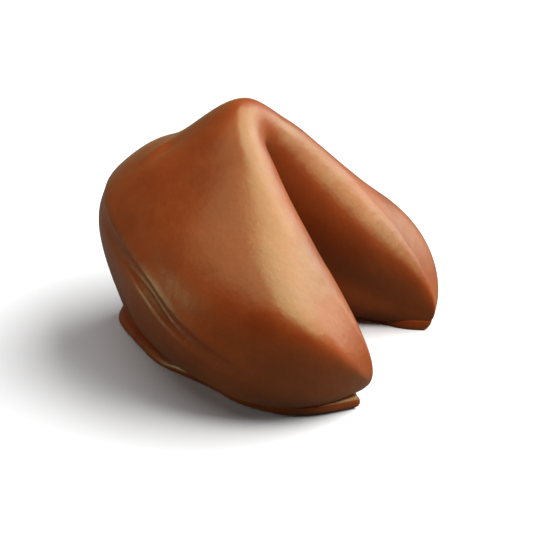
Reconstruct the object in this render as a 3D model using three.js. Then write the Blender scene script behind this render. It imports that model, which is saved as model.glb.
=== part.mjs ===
// A fortune cookie in a coat of milk chocolate, lying on its side, as one solid.
// Millimetres, +Z up. The origin is under the middle of its box, on the surface it lies on.
//
// A round wafer is folded in half and then bent over its fold, so two lobes stand
// round a deep valley. In the cookie's own frame x runs forward to the tips, y across
// them to the far lobe, and z away from the plane of the rim, where the two halves of
// the wafer meet. t runs from -1 at the near tip over 0 at the bend to 1 at the far tip.
// Round a section, turn runs from 0 in the fold, over the upper ridge at 0.25, the rim
// at 0.5 and the lower ridge at 0.75, back to the fold at 1.
import * as THREE from "three";

// Lobes
const LOBE_LENGTH = 50.2; // from the bend to a tip, along the fold
const FAR_LOBE = { length: 1.01, height: 0.98, width: 0.83, ridge: 0.85 }; // shares of the near lobe's
const LOBE_SPREAD = 15.8; // degrees from the middle plane to a lobe
const LOBE_CHANGE = 0.25; // the part of t over which one lobe turns into the other
const CROWDING = 1.43; // above 1, sections lie closer together towards the bend
const FOLD_ROUNDING = 11.2; // of the fold where it bends
const FAN = 0.17; // the part of t over which the sections fan round the bend
const TIP_ROUNDING = 0.74; // where on a lobe its rounded tip starts

// Section sizes at the bend and at every fifth of a lobe out to its tip
const RIDGE_HEIGHT = [14.2, 14.6, 15.2, 14.2, 11, 8.4]; // above the rim's plane
const FOLD_TO_RIM = [21.7, 22.4, 24.3, 24.7, 22.5, 19.7];
const FOLD_TO_RIDGE = [6.7, 7.1, 8, 8, 6.5, 2];
const RIM_DROP = [1.2, 1.2, 1.25, 1.6, 2, 2]; // how far the rim lies under its plane
const LOWER_HALF = { near: 1.09, far: 0.77, from: 0, to: 0.6 }; // height against the upper half

// How full each half's shell is beside its ridge, as a share of its width, and at the rim,
// as a share of its height
const UPPER_SHELL = {
  ridge: [0.37, 0.35, 0.35, 0.38, 0.53, 0.79],
  rim: [0.28, 0.29, 0.39, 0.62, 1.14, 1.72],
};
const LOWER_SHELL = {
  ridge: [0, 0.01, 0.12, 0.28, 0.41, 0.53],
  rim: [0.58, 0.6, 0.7, 0.78, 0.87, 0.82],
};

// How full the valley's wall is, as shares of width and height, at the bend and at a tip
const WALL = { fold: [-0.68, -0.46], rise: [0.74, 0.99], ridge: [0.76, -0.12] };
const WALL_SPAN = [0.3, 0.95]; // where on a lobe the one turns into the other
const FOLD_FILLET = 2; // radius by which the coat fills the fold

// The peaks where the wafer was bent, the hollow behind the upper one and the coat
// that fills the top of the valley
const PEAK = { upper: 9.1, lower: 7.9, x: -4.8, tip: 6.7, spread: 9.4 };
const HOLLOW = { depth: 1.8, out: 13.5, width: 2.8, thin: 6, at: 0.03, span: 0.13 };
const FILLED_FOLD = { out: 4, low: 14, high: 24, width: 4 };

// The seam along the rim, with the lower lip a little proud of the upper one
const LIP_HEIGHT = [0.4, 0.7, 1.15, 0.2, 0.3, 0.3]; // of the upper lip above the rim
const GROOVE = { top: [0.3, 1.1], bottom: [1.7, 3.3], depth: 0.2, deeper: 0.8, at: 0.46, span: 0.2 };
const UPPER_LIP = { out: 0.3, width: 1.4 };
const LOWER_LIP = { out: 0.4, below: 4.3, width: 2.6 };
const SEAM_BEND = { share: 0.35, to: 0.3 }; // how strong it is at the bend, and up to where
const SEAM_END = [0.62, 0.86]; // where it fades out on each lobe
const WRINKLE = { x: -13.2, y: -6.9, turn: 68, depth: 1.1, width: 1.3, length: 2.3 };

// How it lies, and the coat that ran down and set on the surface under it. The pool's
// depth and how far it stands out are given at every tenth of the way from tip to tip.
const PITCH = 25.64; // degrees, tips down
const ROLL = -5.03; // degrees, near lobe down
const RESTS_AT = -20.14; // height of the surface once it is turned like that
const POOL_DEPTH = [1.5, 1.7, 1.7, 1.8, 1.9, 2.1, 1.8, 0.8, 0.4, 0.5, 1.5];
const POOL_EDGE = [6, 2.6, 2, 2.4, 1.8, 2, 1.2, 0.4, 0.2, 0.4, 0.8];
const POOL_WAVE = { share: 0.15, count: 7 };
const POOL_INSIDE = 0.4; // share of the edge on the valley's side
const LEVEL_LEAST = 0.5; // level part of a normal that is stretched to a whole one
const FOOT = { forward: 2, span: [0.8, 0.95] }; // the pool runs forward under the near tip
const DRIP = { inside: 2, back: 0.6, span: [0.85, 0.95] }; // and inwards under the far one
const POOL_WALL = { low: 0.7, high: 1.25 }; // heights of its wall, as shares of its depth

// Facets: steps from tip to tip, and round a section from the fold to the seam, to the
// pool's wall, down it, under the cookie, up the wall again and back to the fold
const STEPS_ALONG = 64;
const STEPS_ROUND = [33, 20, 3, 7, 3, 19];
const SEAM_TURN = 0.47;
const NARROWEST_POOL = { bottom: 0.012, top: 0.03 }; // turns either side of the lowest point
const TIP_STEPS = 0.2; // the part of the steps that rounds the tips

const CHOCOLATE = { color: 0x8c4520, roughness: 0.42, metalness: 0 };

const radians = THREE.MathUtils.degToRad;
const mix = THREE.MathUtils.lerp;
const smooth = THREE.MathUtils.smoothstep;
const bell = (x, width) => Math.exp(-((x / width) ** 2));

// Catmull-Rom value at place 0 to 1 through evenly spaced values, mirrored before the first
function station(values, place) {
  const last = values.length - 1;
  const i = Math.min(Math.floor(place * last), last - 1);
  const f = place * last - i;
  const before = i > 0 ? values[i - 1] : values[1];
  const after = i + 2 > last ? 2 * values[last] - values[last - 1] : values[i + 2];
  const slope = values[i + 1] - before;
  const bend = 2 * before - 5 * values[i] + 4 * values[i + 1] - after;
  const twist = 3 * (values[i] - values[i + 1]) + after - before;
  return values[i] + 0.5 * f * (slope + f * (bend + f * twist));
}

// Point at share u of a Bezier curve, as [distance out from the fold, height]
function curvePoint(points, u) {
  const curve = new THREE.CubicBezierCurve(...points.map((p) => new THREE.Vector2(...p)));
  return curve.getPoint(u).toArray();
}

// Sizes of the section at t
function sectionAt(t) {
  const along = Math.abs(t);
  const far = 0.5 + 0.5 * Math.tanh(t / LOBE_CHANGE);
  const pastStart = Math.max(along - TIP_ROUNDING, 0) / (1 - TIP_ROUNDING);
  const cap = Math.sqrt(Math.max(1 - pastStart ** 2, 0));
  const ridge = station(FOLD_TO_RIDGE, along) * mix(1, FAR_LOBE.ridge, far);
  const centre = 0.9 * ridge;
  const rim = station(FOLD_TO_RIM, along) * mix(1, FAR_LOBE.width, far);
  const distance = LOBE_LENGTH * along ** CROWDING * mix(1, FAR_LOBE.length, far);
  const bend = Math.hypot(distance, FOLD_ROUNDING) - FOLD_ROUNDING;
  const spread = radians(LOBE_SPREAD);
  return {
    x: bend * Math.cos(spread),
    y: Math.sign(t) * distance * Math.sin(spread),
    turn: ((Math.PI / 2 - spread) * Math.tanh(t / FAN)) / Math.tanh(1 / FAN),
    fold: mix(centre, 0, cap),
    ridge: mix(centre, ridge, cap),
    rim: mix(centre, rim, cap),
    height: station(RIDGE_HEIGHT, along) * mix(1, FAR_LOBE.height, far) * cap,
    drop: station(RIM_DROP, along) * cap,
    lowerHalf: mix(LOWER_HALF.near, LOWER_HALF.far, smooth(t, LOWER_HALF.from, LOWER_HALF.to)),
  };
}

// Half a section: from the fold up to the ridge, then over the shell to the rim
function halfSection(section, along, share, shell, edge) {
  const { fold, ridge, rim, height } = section;
  if (share < 0.5) {
    const toTip = smooth(along, ...WALL_SPAN);
    const overFold = [mix(fold, ridge, mix(...WALL.fold, toTip)), height * mix(...WALL.rise, toTip)];
    const beforeRidge = [mix(ridge, fold, mix(...WALL.ridge, toTip)), height];
    const [out, up] = curvePoint([[fold, 0], overFold, beforeRidge, [ridge, height]], 2 * share);
    const lean = ((overFold[0] - fold) / Math.max(overFold[1], 0.01)) * (1 - smooth(2 * share, 0.4, 1));
    return [out + lean * (Math.hypot(up, FOLD_FILLET) - up), up];
  }
  const pastRidge = [mix(ridge, rim, station(shell.ridge, along)), height];
  const overRim = [rim, mix(edge, height, station(shell.rim, along))];
  return curvePoint([[ridge, height], pastRidge, overRim, [rim, edge]], 2 * share - 1);
}

// How far the seam's lips and groove move the skin outwards at a height above the rim
function seamRelief(along, aboveRim) {
  const below = station(LIP_HEIGHT, along) - aboveRim;
  const depth = GROOVE.depth + GROOVE.deeper * bell(along - GROOVE.at, GROOVE.span);
  const groove = depth * smooth(below, ...GROOVE.top) * (1 - smooth(below, ...GROOVE.bottom));
  const upperLip = UPPER_LIP.out * bell(below, UPPER_LIP.width);
  const lowerLip = LOWER_LIP.out * bell(below - LOWER_LIP.below, LOWER_LIP.width);
  const strength = mix(SEAM_BEND.share, 1, smooth(along, 0, SEAM_BEND.to));
  return (upperLip + lowerLip - groove) * strength * (1 - smooth(along, ...SEAM_END));
}

// The small fold in the coat beside the upper peak, as a change of height
function wrinkleRelief(x, y) {
  const turn = radians(WRINKLE.turn);
  const along = (x - WRINKLE.x) * Math.cos(turn) + (y - WRINKLE.y) * Math.sin(turn);
  const across = (x - WRINKLE.x) * Math.sin(turn) - (y - WRINKLE.y) * Math.cos(turn);
  const wave = (across / WRINKLE.width) * bell(across, WRINKLE.width);
  return -WRINKLE.depth * wave * bell(along, WRINKLE.length);
}

// A point of the skin in the cookie's own frame
function skinPoint(t, turn) {
  const along = Math.abs(t);
  const section = sectionAt(t);
  const { drop, lowerHalf } = section;
  const upper = turn < 0.5;
  const share = upper ? 2 * turn : 2 * (1 - turn);
  const [shell, edge] = upper ? [UPPER_SHELL, -drop] : [LOWER_SHELL, drop / lowerHalf];
  let [out, height] = halfSection(section, along, share, shell, edge);
  if (upper && share > 0.5) {
    const thin = THREE.MathUtils.clamp(height / HOLLOW.thin, 0, 1);
    const deep = HOLLOW.depth * bell(t - HOLLOW.at, HOLLOW.span);
    height -= deep * bell(out - HOLLOW.out, HOLLOW.width) * thin;
  }
  if (share > 0.5) {
    out += seamRelief(along, drop + (upper ? height : -height * lowerHalf));
  }
  let x = section.x - out * Math.cos(section.turn);
  const y = section.y + out * Math.sin(section.turn);
  const fromPeak = Math.hypot(x - PEAK.x, y, PEAK.tip) - PEAK.tip;
  const peak = (upper ? PEAK.upper : PEAK.lower) / RIDGE_HEIGHT[0];
  height *= 1 + peak * Math.exp(-fromPeak / PEAK.spread);
  const filled = smooth(height, FILLED_FOLD.low, FILLED_FOLD.high) * Math.max(1 - 2 * share, 0);
  x += FILLED_FOLD.out * filled * bell(y, FILLED_FOLD.width);
  if (!upper) {
    return new THREE.Vector3(x, y, -height * lowerHalf);
  }
  return new THREE.Vector3(x, y, height + wrinkleRelief(x, y));
}

// Turned to the way the cookie lies, before it is pressed onto the surface
const pose = new THREE.Matrix4().makeRotationX(radians(ROLL));
pose.multiply(new THREE.Matrix4().makeRotationY(radians(PITCH)));
const lyingPoint = (t, turn) => skinPoint(t, turn).applyMatrix4(pose);

const sum = (numbers) => numbers.reduce((total, number) => total + number);
const ALL_ROUND = sum(STEPS_ROUND);
const UNDER_MIDDLE = sum(STEPS_ROUND.slice(0, 3)) + STEPS_ROUND[3] / 2; // step under the ridge
const LOWER_RIDGE = Array.from({ length: 61 }, (_, k) => 0.6 + 0.005 * k); // turns to search

// Turn of the lowest point at t
function lowestAt(t) {
  const heights = LOWER_RIDGE.map((turn) => lyingPoint(t, turn).z);
  return LOWER_RIDGE[heights.indexOf(Math.min(...heights))];
}

// Turn between low and high where the skin at t crosses a height, by halving
function turnAtHeight(t, height, low, high) {
  let [under, over] = [low, high];
  for (let k = 0; k < 18; k++) {
    const middle = mix(under, over, 0.5);
    if (lyingPoint(t, middle).z < height) {
      under = middle;
    } else {
      over = middle;
    }
  }
  return under;
}

// Turns of one row's points, closest together at the pool's wall
function rowTurns(t) {
  const lowest = lowestAt(t);
  const depth = station(POOL_DEPTH, (t + 1) / 2);
  const [bottom, top] = [POOL_WALL.low, POOL_WALL.high].map((share) => RESTS_AT + share * depth);
  const outer = (height, least) => Math.min(turnAtHeight(t, height, lowest, 0.5), lowest - least);
  const inner = (height, least) => Math.max(turnAtHeight(t, height, lowest, 1), lowest + least);
  const ends = [
    SEAM_TURN,
    outer(top, NARROWEST_POOL.top),
    outer(bottom, NARROWEST_POOL.bottom),
    inner(bottom, NARROWEST_POOL.bottom),
    inner(top, NARROWEST_POOL.top),
    1,
  ];
  let start = 0;
  return STEPS_ROUND.flatMap((steps, k) => {
    const turns = Array.from({ length: steps }, (_, j) => mix(start, ends[k], j / steps));
    start = ends[k];
    return turns;
  });
}

// t of each row, evenly spaced up to the tips and then round them
function rowPlaces() {
  return Array.from({ length: STEPS_ALONG + 1 }, (_, i) => {
    const step = (2 * i) / STEPS_ALONG - 1;
    const even = Math.min(Math.abs(step) / (1 - TIP_STEPS), 1) * TIP_ROUNDING;
    const past = Math.max(Math.abs(step) - 1 + TIP_STEPS, 0) / TIP_STEPS;
    return Math.sign(step) * (even + (1 - TIP_ROUNDING) * Math.sin((past * Math.PI) / 2));
  });
}

// Rows of points from tip to tip, as the cookie lies on the surface at height 0. The
// first and the last row are single points.
function skinRows() {
  return rowPlaces().map((t) => {
    const turns = Math.abs(t) < 1 ? rowTurns(t) : [0];
    const points = turns.map((turn) => lyingPoint(t, turn));
    points.forEach((point) => point.setZ(point.z - RESTS_AT));
    return { t, points };
  });
}

// Level direction in which the pool spreads: the way the skin faces, by its neighbours in
// the grid, turned forward under the near tip and back under the far one. Shorter than 1
// where the skin faces down.
function levelNormal(rows, i, j) {
  const at = (k, m) => rows[k].points[rows[k].points.length > 1 ? (m + ALL_ROUND) % ALL_ROUND : 0];
  const alongRow = at(i, j + 1).clone().sub(at(i, j - 1));
  const acrossRows = at(i + 1, j).clone().sub(at(i - 1, j));
  const level = acrossRows.cross(alongRow).normalize().setZ(0);
  const forward = FOOT.forward * smooth(-rows[i].t, ...FOOT.span);
  const back = DRIP.back * smooth(rows[i].t, ...DRIP.span);
  level.setX(level.x + forward - back);
  return level.divideScalar(Math.max(level.length(), LEVEL_LEAST));
}

// Skin nearer the surface than the pool is deep goes down to it, and the pool's edge
// stands out a little, in slow waves
function setPool(rows) {
  const normals = rows.map((row, i) =>
    row.points.map((_, j) => (row.points.length > 1 ? levelNormal(rows, i, j) : new THREE.Vector3())),
  );
  rows.forEach(({ t, points }, i) => {
    const depth = station(POOL_DEPTH, (t + 1) / 2);
    const wave = 1 + POOL_WAVE.share * Math.sin(POOL_WAVE.count * Math.PI * t);
    const edge = station(POOL_EDGE, (t + 1) / 2) * wave;
    const inside = mix(POOL_INSIDE, DRIP.inside, smooth(t, ...DRIP.span));
    points.forEach((point, j) => {
      const height = point.z / depth;
      const rise = smooth(height, POOL_WALL.low, POOL_WALL.high);
      const push = smooth(height, 0, POOL_WALL.low) * Math.sqrt(1 - rise ** 2);
      point.addScaledVector(normals[i][j], edge * push * (j > UNDER_MIDDLE ? inside : 1));
      point.z = Math.max(point.z, 0) * rise;
    });
  });
}

// One closed skin over the rows, facing outwards
function closedSkin(rows) {
  const points = rows.flatMap((row) => row.points);
  const last = points.length - 1;
  const index = [];
  const at = (i, j) => 1 + (i - 1) * ALL_ROUND + (j % ALL_ROUND);
  for (let j = 0; j < ALL_ROUND; j++) {
    index.push(0, at(1, j), at(1, j + 1));
    index.push(last, at(STEPS_ALONG - 1, j + 1), at(STEPS_ALONG - 1, j));
    for (let i = 1; i < STEPS_ALONG - 1; i++) {
      index.push(at(i, j), at(i + 1, j), at(i + 1, j + 1));
      index.push(at(i, j), at(i + 1, j + 1), at(i, j + 1));
    }
  }
  const skin = new THREE.BufferGeometry().setFromPoints(points);
  skin.setIndex(index);
  skin.computeVertexNormals();
  return skin;
}

function makeCookie() {
  const rows = skinRows();
  setPool(rows);
  const skin = closedSkin(rows);
  skin.computeBoundingBox();
  const middle = skin.boundingBox.getCenter(new THREE.Vector3());
  skin.translate(-middle.x, -middle.y, -skin.boundingBox.min.z);
  const cookie = new THREE.Mesh(skin, new THREE.MeshStandardMaterial(CHOCOLATE));
  cookie.name = "cookie";
  return cookie;
}

const object = new THREE.Group();
object.add(makeCookie());

export default object;
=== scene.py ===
import math

import bpy
import numpy as np
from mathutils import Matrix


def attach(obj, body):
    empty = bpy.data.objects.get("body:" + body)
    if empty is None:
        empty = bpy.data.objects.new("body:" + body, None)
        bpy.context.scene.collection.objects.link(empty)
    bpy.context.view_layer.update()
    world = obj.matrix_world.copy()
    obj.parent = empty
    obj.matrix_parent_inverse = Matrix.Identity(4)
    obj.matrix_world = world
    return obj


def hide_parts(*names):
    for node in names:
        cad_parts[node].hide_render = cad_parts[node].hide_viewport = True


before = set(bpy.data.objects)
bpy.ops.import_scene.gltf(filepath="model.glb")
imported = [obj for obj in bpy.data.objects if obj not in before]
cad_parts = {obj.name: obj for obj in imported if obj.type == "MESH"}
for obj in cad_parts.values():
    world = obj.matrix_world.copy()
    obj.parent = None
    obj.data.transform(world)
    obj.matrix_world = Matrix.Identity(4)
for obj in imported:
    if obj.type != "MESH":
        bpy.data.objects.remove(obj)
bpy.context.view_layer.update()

# A fortune cookie in a coat of milk chocolate, lying on its side.
#
# The skin is one closed surface over two parameters. t runs from -1 at the near tip over
# 0 at the bend to 1 at the far tip. turn runs round a section: 0 in the fold, 0.25 on the
# upper ridge, 0.5 at the rim, 0.75 on the lower ridge and 1 back in the fold. In the
# cookie's own frame x runs forward to the tips, y across them and z away from the rim's
# plane. Sizes of the cookie are in millimetres, and MM turns them into metres.
MM = 0.001
LEAST_HEIGHT = 0.01

# Lobes: the far one as shares of the near one, how the rows crowd towards the bend, and
# where the tips begin to round off, towards a centre that is a share of the way to the ridge
LOBE_LENGTH = 50.2
FAR_LENGTH, FAR_HEIGHT, FAR_WIDTH, FAR_RIDGE = 1.01, 0.98, 0.83, 0.85
LOBE_SPREAD = math.radians(15.8)
LOBE_CHANGE = 0.25
CROWDING = 1.43
FOLD_ROUNDING = 11.2
FAN = 0.17
TIP_ROUNDING, TIP_CENTRE = 0.74, 0.9

# Sections at the bend and at every fifth of a lobe: sizes, and how full each half's shell
# is beside the ridge and over the rim, as shares of its width and of its height
RIDGE_HEIGHT = (14.2, 14.6, 15.2, 14.2, 11.0, 8.4)
FOLD_TO_RIM = (21.7, 22.4, 24.3, 24.7, 22.5, 19.7)
FOLD_TO_RIDGE = (6.7, 7.1, 8.0, 8.0, 6.5, 1.8)
RIM_DROP = (1.2, 1.2, 1.25, 1.6, 2.0, 2.0)
UPPER_BY_RIDGE = (0.37, 0.35, 0.35, 0.38, 0.53, 0.79)
UPPER_OVER_RIM = (0.28, 0.29, 0.39, 0.62, 1.14, 1.72)
LOWER_BY_RIDGE = (0.0, 0.01, 0.12, 0.28, 0.45, 0.75)
LOWER_UNDER_RIM = (0.58, 0.6, 0.7, 0.78, 0.95, 1.5)
LOWER_HALF = 1.09
FAR_LOWER, LOWER_CHANGE = 0.71, (0.0, 0.6)

# The valley's wall at the bend and at the tips
WALL_SPAN = (0.3, 0.95)
WALL_FOLD, WALL_RISE, WALL_RIDGE = (-0.68, -0.46), (0.74, 0.99), (0.76, 0.06)
FOLD_FILLET, FILLET_FADE = 2.0, (0.4, 1.0)

# Peaks, the hollow behind the upper one and the filled top of the valley
PEAK_UPPER, PEAK_LOWER, PEAK_X, PEAK_TIP, PEAK_SPREAD = 9.1, 7.9, -4.8, 6.7, 9.4
HOLLOW_DEPTH, HOLLOW_OUT, HOLLOW_WIDTH = 1.8, 13.5, 2.8
HOLLOW_THIN, HOLLOW_AT, HOLLOW_SPAN = 6.0, 0.03, 0.13
FILLED_OUT, FILLED_LOW, FILLED_HIGH, FILLED_WIDTH = 4.0, 14.0, 24.0, 4.0

# Seam along the rim
LIP_HEIGHT = (0.4, 0.7, 1.15, 0.2, 0.3, 0.3)
GROOVE_TOP, GROOVE_BOTTOM = (0.3, 1.1), (1.7, 3.3)
GROOVE_DEPTH, GROOVE_DEEPER, GROOVE_AT, GROOVE_SPAN = 0.2, 0.8, 0.46, 0.2
UPPER_LIP_OUT, UPPER_LIP_WIDTH = 0.3, 1.4
LOWER_LIP_OUT, LOWER_LIP_BELOW, LOWER_LIP_WIDTH = 0.4, 4.3, 2.6
SEAM_BEND, SEAM_START, SEAM_END = 0.35, (0.0, 0.3), (0.62, 0.86)
WRINKLE_X, WRINKLE_Y, WRINKLE_TURN = -13.2, -6.9, math.radians(68)
WRINKLE_DEPTH, WRINKLE_WIDTH, WRINKLE_LENGTH = 1.1, 1.3, 2.3

# How it lies, and the pool of coat that set under it, from the near tip to the far one. The
# near foot's edge leans forward and the far tip's drip back
PITCH, ROLL = math.radians(25.64), math.radians(-5.03)
RESTS_AT = -20.14
POOL_DEPTH = (2.0, 1.8, 1.7, 1.8, 1.9, 2.1, 1.8, 0.7, 0.3, 0.3, 0.3)
POOL_EDGE = (3.0, 2.4, 2.0, 2.4, 1.8, 2.0, 1.2, 0.2, -0.2, -0.2, 0.8)
POOL_WAVE, POOL_WAVES = 0.15, 7
POOL_INSIDE, DRIP_INSIDE, DRIP_DEPTH, DRIP_SPAN = 0.4, 1.0, 1.1, (0.88, 0.96)
FOOT_FORWARD, FOOT_SPAN, DRIP_BACK = 1.0, (0.8, 0.95), 0.6
LEVEL_LEAST = 0.5
WALL_LOW, WALL_HIGH = 0.7, 1.25

# Grid of the skin: steps from tip to tip, and round a section from the fold to the upper
# lip, over the seam, to the pool's wall, down it, under the cookie, up and to the fold
STEPS_ALONG = 366
STEPS_ROUND = (84, 36, 48, 20, 14, 18, 40)
LOWEST_BETWEEN, LOWEST_STEPS = (0.6, 0.9), 301
LIP_TURN, RIM_TURN = 0.45, 0.515
NARROWEST_BOTTOM, NARROWEST_TOP = 0.012, 0.03
TIP_STEPS = 0.2


def bell(x, width):
    """exp(-(x / width)^2)"""
    return np.exp(-((x / width) ** 2))


def smooth(x, low, high):
    """0 below low, 1 above high, and 3f^2 - 2f^3 of the share f between them."""
    f = np.clip((x - low) / (high - low), 0, 1)
    return f * f * (3 - 2 * f)


def mix(a, b, share):
    return a + (b - a) * share


def station(values, place):
    """Catmull-Rom curve through evenly spaced values, mirrored before the first one and
    carried straight on past the last; place is 0 at the first and 1 at the last."""
    last = len(values) - 1
    ends = np.array([values[1], *values, 2 * values[-1] - values[-2]])
    i = np.clip(np.floor(place * last).astype(int), 0, last - 1)
    f = place * last - i
    a, b, c, d = (ends[i + k] for k in range(4))
    return b + 0.5 * f * (c - a + f * (2 * a - 5 * b + 4 * c - d + f * (3 * (b - c) + d - a)))


def bezier(a, b, c, d, u):
    """(1-u)^3 a + 3(1-u)^2 u b + 3(1-u) u^2 c + u^3 d"""
    return (1 - u) ** 3 * a + 3 * (1 - u) ** 2 * u * b + 3 * (1 - u) * u * u * c + u**3 * d


def seam_relief(t, above_rim):
    """Distance outwards: two bells for the lips, less a groove with a steep upper side,
    fainter at the bend and faded out before the tips."""
    along = np.abs(t)
    below = station(LIP_HEIGHT, along) - above_rim
    depth = GROOVE_DEPTH + GROOVE_DEEPER * bell(along - GROOVE_AT, GROOVE_SPAN)
    groove = depth * smooth(below, *GROOVE_TOP) * (1 - smooth(below, *GROOVE_BOTTOM))
    upper_lip = UPPER_LIP_OUT * bell(below, UPPER_LIP_WIDTH)
    lower_lip = LOWER_LIP_OUT * bell(below - LOWER_LIP_BELOW, LOWER_LIP_WIDTH)
    strength = mix(SEAM_BEND, 1, smooth(along, *SEAM_START)) * (1 - smooth(along, *SEAM_END))
    return (upper_lip + lower_lip - groove) * strength


def wrinkle_relief(x, y):
    """Height: a wave across the fold's line, w exp(-w^2), in a bell along it."""
    along = (x - WRINKLE_X) * math.cos(WRINKLE_TURN) + (y - WRINKLE_Y) * math.sin(WRINKLE_TURN)
    across = (x - WRINKLE_X) * math.sin(WRINKLE_TURN) - (y - WRINKLE_Y) * math.cos(WRINKLE_TURN)
    wave = across / WRINKLE_WIDTH * bell(across, WRINKLE_WIDTH)
    return -WRINKLE_DEPTH * wave * bell(along, WRINKLE_LENGTH)


def skin(t, turn):
    """Point of the skin in the cookie's own frame. The section stands out from the fold
    line by a distance and a height: one Bezier curve up the valley's wall to the ridge and
    one over the shell to the rim, mirrored below. A wall that leaves the fold with slope
    k gains k (sqrt(h^2 + r^2) - h) at height h. The sections fan round the bend."""
    along = np.abs(t)
    far = 0.5 + 0.5 * np.tanh(t / LOBE_CHANGE)
    past = np.maximum(along - TIP_ROUNDING, 0) / (1 - TIP_ROUNDING)
    cap = np.sqrt(np.maximum(1 - past**2, 0))
    ridge = station(FOLD_TO_RIDGE, along) * mix(1, FAR_RIDGE, far)
    centre = TIP_CENTRE * ridge
    rim = mix(centre, station(FOLD_TO_RIM, along) * mix(1, FAR_WIDTH, far), cap)
    fold, ridge = mix(centre, 0, cap), mix(centre, ridge, cap)
    high = station(RIDGE_HEIGHT, along) * mix(1, FAR_HEIGHT, far) * cap
    drop = station(RIM_DROP, along) * cap
    distance = LOBE_LENGTH * along**CROWDING * mix(1, FAR_LENGTH, far)
    fold_x = (np.hypot(distance, FOLD_ROUNDING) - FOLD_ROUNDING) * math.cos(LOBE_SPREAD)
    fold_y = np.sign(t) * distance * math.sin(LOBE_SPREAD)
    swing = (math.pi / 2 - LOBE_SPREAD) * np.tanh(t / FAN) / math.tanh(1 / FAN)

    upper = turn < 0.5
    lower_half = LOWER_HALF * mix(1, FAR_LOWER, smooth(t, *LOWER_CHANGE))
    share = np.where(upper, 2 * turn, 2 * (1 - turn))
    to_tip = smooth(along, *WALL_SPAN)
    by_fold, rise, by_ridge = (mix(*ends, to_tip) for ends in (WALL_FOLD, WALL_RISE, WALL_RIDGE))
    u = np.clip(2 * share, 0, 1)
    wall_out = bezier(fold, mix(fold, ridge, by_fold), mix(ridge, fold, by_ridge), ridge, u)
    wall_height = bezier(0, rise * high, high, high, u)
    lean = by_fold * (ridge - fold) / np.maximum(rise * high, LEAST_HEIGHT) * (1 - smooth(u, *FILLET_FADE))
    wall_out = wall_out + lean * (np.hypot(wall_height, FOLD_FILLET) - wall_height)
    beside = np.where(upper, station(UPPER_BY_RIDGE, along), station(LOWER_BY_RIDGE, along))
    full = np.where(upper, station(UPPER_OVER_RIM, along), station(LOWER_UNDER_RIM, along))
    edge = np.where(upper, -drop, drop / lower_half)
    u = np.clip(2 * share - 1, 0, 1)
    shell_out = bezier(ridge, mix(ridge, rim, beside), rim, rim, u)
    shell_height = bezier(high, high, mix(edge, high, full), edge, u)
    on_shell = share > 0.5
    out = np.where(on_shell, shell_out, wall_out)
    height = np.where(on_shell, shell_height, wall_height)

    thin = np.clip(height / HOLLOW_THIN, 0, 1)
    hollow = HOLLOW_DEPTH * bell(t - HOLLOW_AT, HOLLOW_SPAN) * bell(out - HOLLOW_OUT, HOLLOW_WIDTH) * thin
    height = height - np.where(upper & on_shell, hollow, 0)
    above_rim = np.where(upper, height, -height * lower_half) + drop
    out = out + np.where(on_shell, seam_relief(t, above_rim), 0)
    x = fold_x - out * np.cos(swing)
    y = fold_y + out * np.sin(swing)
    from_peak = np.sqrt((x - PEAK_X) ** 2 + y**2 + PEAK_TIP**2) - PEAK_TIP
    peak = np.where(upper, PEAK_UPPER, PEAK_LOWER) / RIDGE_HEIGHT[0]
    height = height * (1 + peak * np.exp(-from_peak / PEAK_SPREAD))
    filled = smooth(height, FILLED_LOW, FILLED_HIGH) * np.maximum(1 - 2 * share, 0)
    x = x + FILLED_OUT * filled * bell(y, FILLED_WIDTH)
    z = np.where(upper, height + wrinkle_relief(x, y), -height * lower_half)
    return np.stack(np.broadcast_arrays(x, y, z), axis=-1)


def laid_down(points):
    """Points turned by PITCH about Y, tips down, and then by ROLL about X."""
    x, y, z = np.moveaxis(points, -1, 0)
    x, z = x * math.cos(PITCH) + z * math.sin(PITCH), z * math.cos(PITCH) - x * math.sin(PITCH)
    y, z = y * math.cos(ROLL) - z * math.sin(ROLL), z * math.cos(ROLL) + y * math.sin(ROLL)
    return np.stack((x, y, z), axis=-1)


def skin_height(t, turn):
    return laid_down(skin(t, turn))[..., 2]


def turn_at_height(t, height, low, high):
    """Turn between low, which lies under that height, and high, by halving 24 times."""
    low, high = np.broadcast_arrays(low * 1.0, high * np.ones_like(low))
    for _ in range(24):
        half = mix(low, high, 0.5)
        under = skin_height(t, half) < height
        low, high = np.where(under, half, low), np.where(under, high, half)
    return low


def pool_depth(t):
    """The depth at the stations, and more by a smooth step at the drip."""
    return station(POOL_DEPTH, (t + 1) / 2) + DRIP_DEPTH * smooth(t, *DRIP_SPAN)


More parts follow.
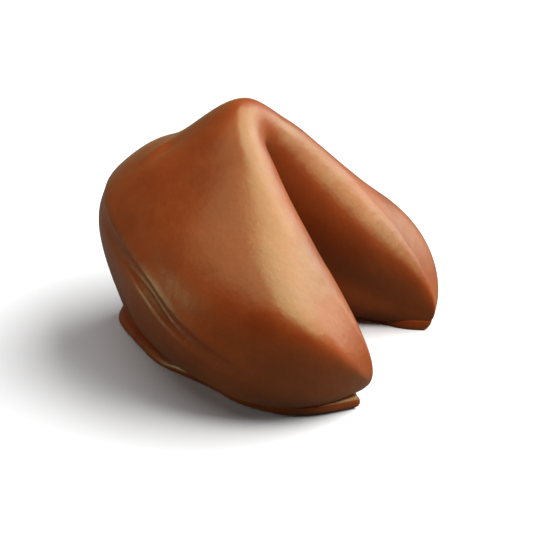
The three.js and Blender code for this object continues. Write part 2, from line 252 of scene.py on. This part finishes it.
def skin_grid():
    """Rows of points on the surface at height 0, with the turns that they lie at. The
    turns of a row are closest together over the seam and down the pool's wall."""
    step = np.linspace(-1, 1, STEPS_ALONG + 1)
    even = np.minimum(np.abs(step) / (1 - TIP_STEPS), 1) * TIP_ROUNDING
    past = np.maximum(np.abs(step) - 1 + TIP_STEPS, 0) / TIP_STEPS
    t = (np.sign(step) * (even + (1 - TIP_ROUNDING) * np.sin(past * math.pi / 2)))[:, None]
    search = np.linspace(*LOWEST_BETWEEN, LOWEST_STEPS)[None, :]
    heights = skin_height(t, search)
    lowest = search[0, heights.argmin(axis=1)][:, None]
    depth = pool_depth(t)
    top, bottom = RESTS_AT + WALL_HIGH * depth, RESTS_AT + WALL_LOW * depth
    ends = [
        np.full_like(t, LIP_TURN),
        np.full_like(t, RIM_TURN),
        np.minimum(turn_at_height(t, top, lowest, 0.5), lowest - NARROWEST_TOP),
        np.minimum(turn_at_height(t, bottom, lowest, 0.5), lowest - NARROWEST_BOTTOM),
        np.maximum(turn_at_height(t, bottom, lowest, 1), lowest + NARROWEST_BOTTOM),
        np.maximum(turn_at_height(t, top, lowest, 1), lowest + NARROWEST_TOP),
        np.ones_like(t),
    ]
    starts = [np.zeros_like(t), *ends[:-1]]
    parts = zip(starts, ends, STEPS_ROUND)
    turn = np.hstack([mix(a, b, np.arange(n)[None, :] / n) for a, b, n in parts])
    points = laid_down(skin(t, turn))
    points[..., 2] -= RESTS_AT
    return t, turn, lowest, points


def grid_normals(points):
    """Unit normals of the grid: the cross product of its slopes along and round it."""
    along = np.gradient(points, axis=0)
    round_it = np.roll(points, -1, axis=1) - np.roll(points, 1, axis=1)
    normals = np.cross(along, round_it)
    return normals / np.maximum(np.linalg.norm(normals, axis=-1, keepdims=True), 1e-9)


def set_pool(t, turn, lowest, points):
    """Skin nearer the surface than the pool is deep drops to it, by a smooth step r of the
    height, and the pool's edge is pushed out level by its width times sqrt(1 - r^2)."""
    normals = grid_normals(points)
    forward = FOOT_FORWARD * smooth(-t, *FOOT_SPAN) - DRIP_BACK * smooth(t, *DRIP_SPAN)
    level = normals * (1, 1, 0) + forward[..., None] * (1, 0, 0)
    level /= np.maximum(np.linalg.norm(level, axis=-1, keepdims=True), LEVEL_LEAST)
    depth = pool_depth(t)
    edge = station(POOL_EDGE, (t + 1) / 2) * (1 + POOL_WAVE * np.sin(POOL_WAVES * math.pi * t))
    inside = mix(POOL_INSIDE, DRIP_INSIDE, smooth(t, *DRIP_SPAN))
    edge = edge * np.where(turn > lowest, inside, 1)
    height = points[..., 2] / depth
    rise = smooth(height, WALL_LOW, WALL_HIGH)
    push = smooth(height, 0, WALL_LOW) * np.sqrt(1 - rise**2)
    points = points + level * (edge * push)[..., None]
    points[..., 2] = np.maximum(points[..., 2], 0) * rise
    return points


def add_closed_skin(name, points):
    """A mesh over the grid: one point at each tip, a quad between neighbours on two rows,
    and a triangle between each tip and its row."""
    rows, count = points.shape[0] - 2, points.shape[1]
    tips = points[[0, -1], 0]
    vertices = np.vstack([tips[:1], points[1:-1].reshape(-1, 3), tips[1:]]) * MM
    first = 1 + np.arange(rows)[:, None] * count + np.arange(count)[None, :]
    onward = np.roll(first, -1, axis=1)
    quads = np.stack([first[:-1], first[1:], onward[1:], onward[:-1]], axis=-1).reshape(-1, 4)
    near = np.stack([np.zeros(count, int), first[0], onward[0]], axis=-1)
    far = np.stack([np.full(count, len(vertices) - 1), onward[-1], first[-1]], axis=-1)
    mesh = bpy.data.meshes.new(name)
    mesh.from_pydata(vertices.tolist(), [], quads.tolist() + near.tolist() + far.tolist())
    mesh.shade_smooth()
    piece = bpy.data.objects.new(name, mesh)
    bpy.context.collection.objects.link(piece)
    return piece


def make_cookie():
    t, turn, lowest, points = skin_grid()
    points = set_pool(t, turn, lowest, points)
    low, high = points.min(axis=(0, 1)), points.max(axis=(0, 1))
    points = points - ((low + high) / 2 * (1, 1, 0))
    return add_closed_skin("coated_cookie", points)


# Milk chocolate: colours, gloss, and patterns with their scales per metre and depths in
# metres
BROWN, ORANGE_BROWN = (0.225, 0.025, 0.0015), (0.28, 0.034, 0.002)
THIN_COAT, DARK_SPECK = (0.31, 0.047, 0.003), (0.12, 0.0145, 0.0015)
GLOSS_TINT, GLOSS_INDEX = (0.74, 0.92, 0.42, 1), 1.6
SHEEN_TINT, SHEEN, SHEEN_SPREAD = (0.7, 0.9, 0.35, 1), 0.1, 0.6
SMOOTHEST, ROUGHEST = 0.35, 0.42
CLOUD_SCALE, PATCH_SCALE, DENT_SCALE, GRAIN_SCALE = 75, 190, 420, 1500
PATCHES_SHOW, GRAIN_SHOWS = 0.35, 0.16
DENT_DEPTH, DENT_STRENGTH = 0.0002, 0.5
GRAIN_DEPTH, GRAIN_STRENGTH = 0.00005, 0.35


def node(tree, kind, **values):
    """A shader node with its properties and the values of its inputs set."""
    made = tree.nodes.new(kind)
    for key, value in values.items():
        if key in made.inputs:
            made.inputs[key].default_value = value
        else:
            setattr(made, key, value)
    return made


def noise(tree, place, scale, detail, roughness=0.5):
    made = node(tree, "ShaderNodeTexNoise", Scale=scale, Detail=detail, Roughness=roughness)
    tree.links.new(place, made.inputs["Vector"])
    return made.outputs["Fac"]


def ranged(tree, value, low, high, to_low, to_high):
    """The value's share between low and high, carried to to_low and to_high."""
    made = node(tree, "ShaderNodeMapRange", interpolation_type="SMOOTHSTEP")
    made.inputs["From Min"].default_value, made.inputs["From Max"].default_value = low, high
    made.inputs["To Min"].default_value, made.inputs["To Max"].default_value = to_low, to_high
    tree.links.new(value, made.inputs["Value"])
    return made.outputs["Result"]


def blended(tree, factor, first, second):
    """The second colour over the first by the factor; each is a socket or a plain colour."""
    made = node(tree, "ShaderNodeMix", data_type="RGBA")
    for name, colour in (("A", first), ("B", second)):
        socket = next(i for i in made.inputs if i.name == name and i.type == "RGBA")
        if isinstance(colour, tuple):
            socket.default_value = (*colour, 1)
        else:
            tree.links.new(colour, socket)
    share = next(i for i in made.inputs if i.name == "Factor" and i.type == "VALUE")
    tree.links.new(factor, share)
    return next(o for o in made.outputs if o.type == "RGBA")


def bumped(tree, height, distance, strength, under=None):
    made = node(tree, "ShaderNodeBump", Distance=distance, Strength=strength)
    tree.links.new(height, made.inputs["Height"])
    if under:
        tree.links.new(under, made.inputs["Normal"])
    return made.outputs["Normal"]


def chocolate_material():
    """Clouds of warmer and darker brown, warm patches where the coat is thin, a fine grain,
    and a satin skin that is duller in patches, with a faint warm sheen."""
    material = bpy.data.materials.new("milk_chocolate")
    material.use_nodes = True
    tree = material.node_tree
    tree.nodes.clear()
    output = node(tree, "ShaderNodeOutputMaterial")
    shader = node(tree, "ShaderNodeBsdfPrincipled")
    shader.inputs["IOR"].default_value = GLOSS_INDEX
    shader.inputs["Specular Tint"].default_value = GLOSS_TINT
    shader.inputs["Sheen Weight"].default_value = SHEEN
    shader.inputs["Sheen Roughness"].default_value = SHEEN_SPREAD
    shader.inputs["Sheen Tint"].default_value = SHEEN_TINT
    place = node(tree, "ShaderNodeTexCoord").outputs["Object"]
    clouds = noise(tree, place, CLOUD_SCALE, 3)
    patches = noise(tree, place, PATCH_SCALE, 2)
    grain = noise(tree, place, GRAIN_SCALE, 3, 0.6)
    dents = noise(tree, place, DENT_SCALE, 2)
    colour = blended(tree, ranged(tree, clouds, 0.35, 0.65, 0.0, 1.0), BROWN, ORANGE_BROWN)
    colour = blended(tree, ranged(tree, patches, 0.45, 0.75, 0.0, PATCHES_SHOW), colour, THIN_COAT)
    colour = blended(tree, ranged(tree, grain, 0.3, 0.7, 0.0, GRAIN_SHOWS), colour, DARK_SPECK)
    tree.links.new(colour, shader.inputs["Base Color"])
    dull = ranged(tree, patches, 0.3, 0.7, SMOOTHEST, ROUGHEST)
    tree.links.new(dull, shader.inputs["Roughness"])
    normal = bumped(tree, dents, DENT_DEPTH, DENT_STRENGTH)
    normal = bumped(tree, grain, GRAIN_DEPTH, GRAIN_STRENGTH, normal)
    tree.links.new(normal, shader.inputs["Normal"])
    tree.links.new(shader.outputs["BSDF"], output.inputs["Surface"])
    return material


# Stage: the floor, the sky's strength, and each light's turn from +X towards +Y and rise in
# degrees, width and height in metres and power in watts, all LIGHT_AWAY from the cookie
FLOOR_SIZE = 4.0
FLOOR_SHOWN, FLOOR_BOUNCE, FLOOR_ROUGHNESS = (0.85, 0.85, 0.85, 1), (0.13, 0.13, 0.13, 1), 0.7
SKY = 0.03
LIGHTS = {
    "key_light": (28, 50, 0.9, 0.65, 11.3),
    "rim_light": (62, 20, 0.4, 0.4, 2.0),
    "front_light": (245, 75, 0.5, 0.5, 1.3),
    "left_light": (215, 12, 0.3, 0.3, 1.1),
}
LIGHT_AWAY = 0.7


def floor_material():
    """White to the camera and a dull grey to the light that it throws back."""
    material = bpy.data.materials.new("pale_floor")
    material.use_nodes = True
    tree = material.node_tree
    shader = tree.nodes["Principled BSDF"]
    shader.inputs["Roughness"].default_value = FLOOR_ROUGHNESS
    shader.inputs["Specular IOR Level"].default_value = 0.0
    rays = node(tree, "ShaderNodeLightPath")
    shade = node(tree, "ShaderNodeMix", data_type="RGBA")
    shade.inputs["A"].default_value = FLOOR_BOUNCE
    shade.inputs["B"].default_value = FLOOR_SHOWN
    tree.links.new(rays.outputs["Is Camera Ray"], shade.inputs["Factor"])
    tree.links.new(shade.outputs["Result"], shader.inputs["Base Color"])
    return material


def add_floor():
    bpy.ops.mesh.primitive_plane_add(size=FLOOR_SIZE)
    floor = bpy.context.object
    floor.name = "floor"
    floor.data.materials.append(floor_material())


def add_light(name, turn, rise, width, height, power):
    """A soft light that faces the cookie."""
    light = bpy.data.lights.new(name, "AREA")
    light.shape, light.size, light.size_y, light.energy = "RECTANGLE", width, height, power
    turn, rise = math.radians(turn), math.radians(rise)
    holder = bpy.data.objects.new(name, light)
    bpy.context.collection.objects.link(holder)
    way = np.array([math.cos(turn) * math.cos(rise), math.sin(turn) * math.cos(rise), math.sin(rise)])
    holder.location = way * LIGHT_AWAY
    holder.rotation_euler = (math.pi / 2 - rise, 0, turn + math.pi / 2)


def add_world():
    world = bpy.data.worlds.new("studio")
    bpy.context.scene.world = world
    world.use_nodes = True
    background = world.node_tree.nodes["Background"]
    background.inputs["Color"].default_value = (1, 1, 1, 1)
    background.inputs["Strength"].default_value = SKY


# Camera: azimuth from +Y towards -X, elevation, distance in metres, lens, what it stands
# round, and how far beside that it is aimed, both in the cookie's millimetres
CAMERA_TURN, CAMERA_RISE = math.radians(22.48), math.radians(26.85)
CAMERA_AWAY = 0.52
CAMERA_LENS, SENSOR_WIDTH = 204.8, 36
CLIP_NEAR, CLIP_FAR = 0.01, 20
LOOKED_AT = (0.25, 2.64, 20.0)
FRAMED_RIGHT, FRAMED_DOWN = 1.0, 5.78


def add_camera():
    """The camera stands CAMERA_AWAY from LOOKED_AT and is aimed a little beside it."""
    right = np.array([math.cos(CAMERA_TURN), math.sin(CAMERA_TURN), 0])
    level = np.array([-math.sin(CAMERA_TURN), math.cos(CAMERA_TURN), 0])
    look = level * math.cos(CAMERA_RISE) - np.array([0, 0, math.sin(CAMERA_RISE)])
    up = np.cross(right, look)
    middle = np.array(LOOKED_AT) * MM
    place = middle - look * CAMERA_AWAY
    aim = middle + (right * FRAMED_RIGHT - up * FRAMED_DOWN) * MM - place
    camera = bpy.data.cameras.new("camera")
    camera.lens, camera.sensor_width = CAMERA_LENS, SENSOR_WIDTH
    camera.clip_start, camera.clip_end = CLIP_NEAR, CLIP_FAR
    holder = bpy.data.objects.new("camera", camera)
    bpy.context.collection.objects.link(holder)
    holder.location = place
    rise = math.asin(aim[2] / np.linalg.norm(aim))
    holder.rotation_euler = (math.pi / 2 + rise, 0, math.atan2(aim[1], aim[0]) - math.pi / 2)
    bpy.context.scene.camera = holder


cookie = make_cookie()
cookie.data.materials.append(chocolate_material())
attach(cookie, "root")
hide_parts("cookie")

add_floor()
add_world()
for name, values in LIGHTS.items():
    add_light(name, *values)
add_camera()
bpy.context.scene.view_settings.view_transform = "Standard"
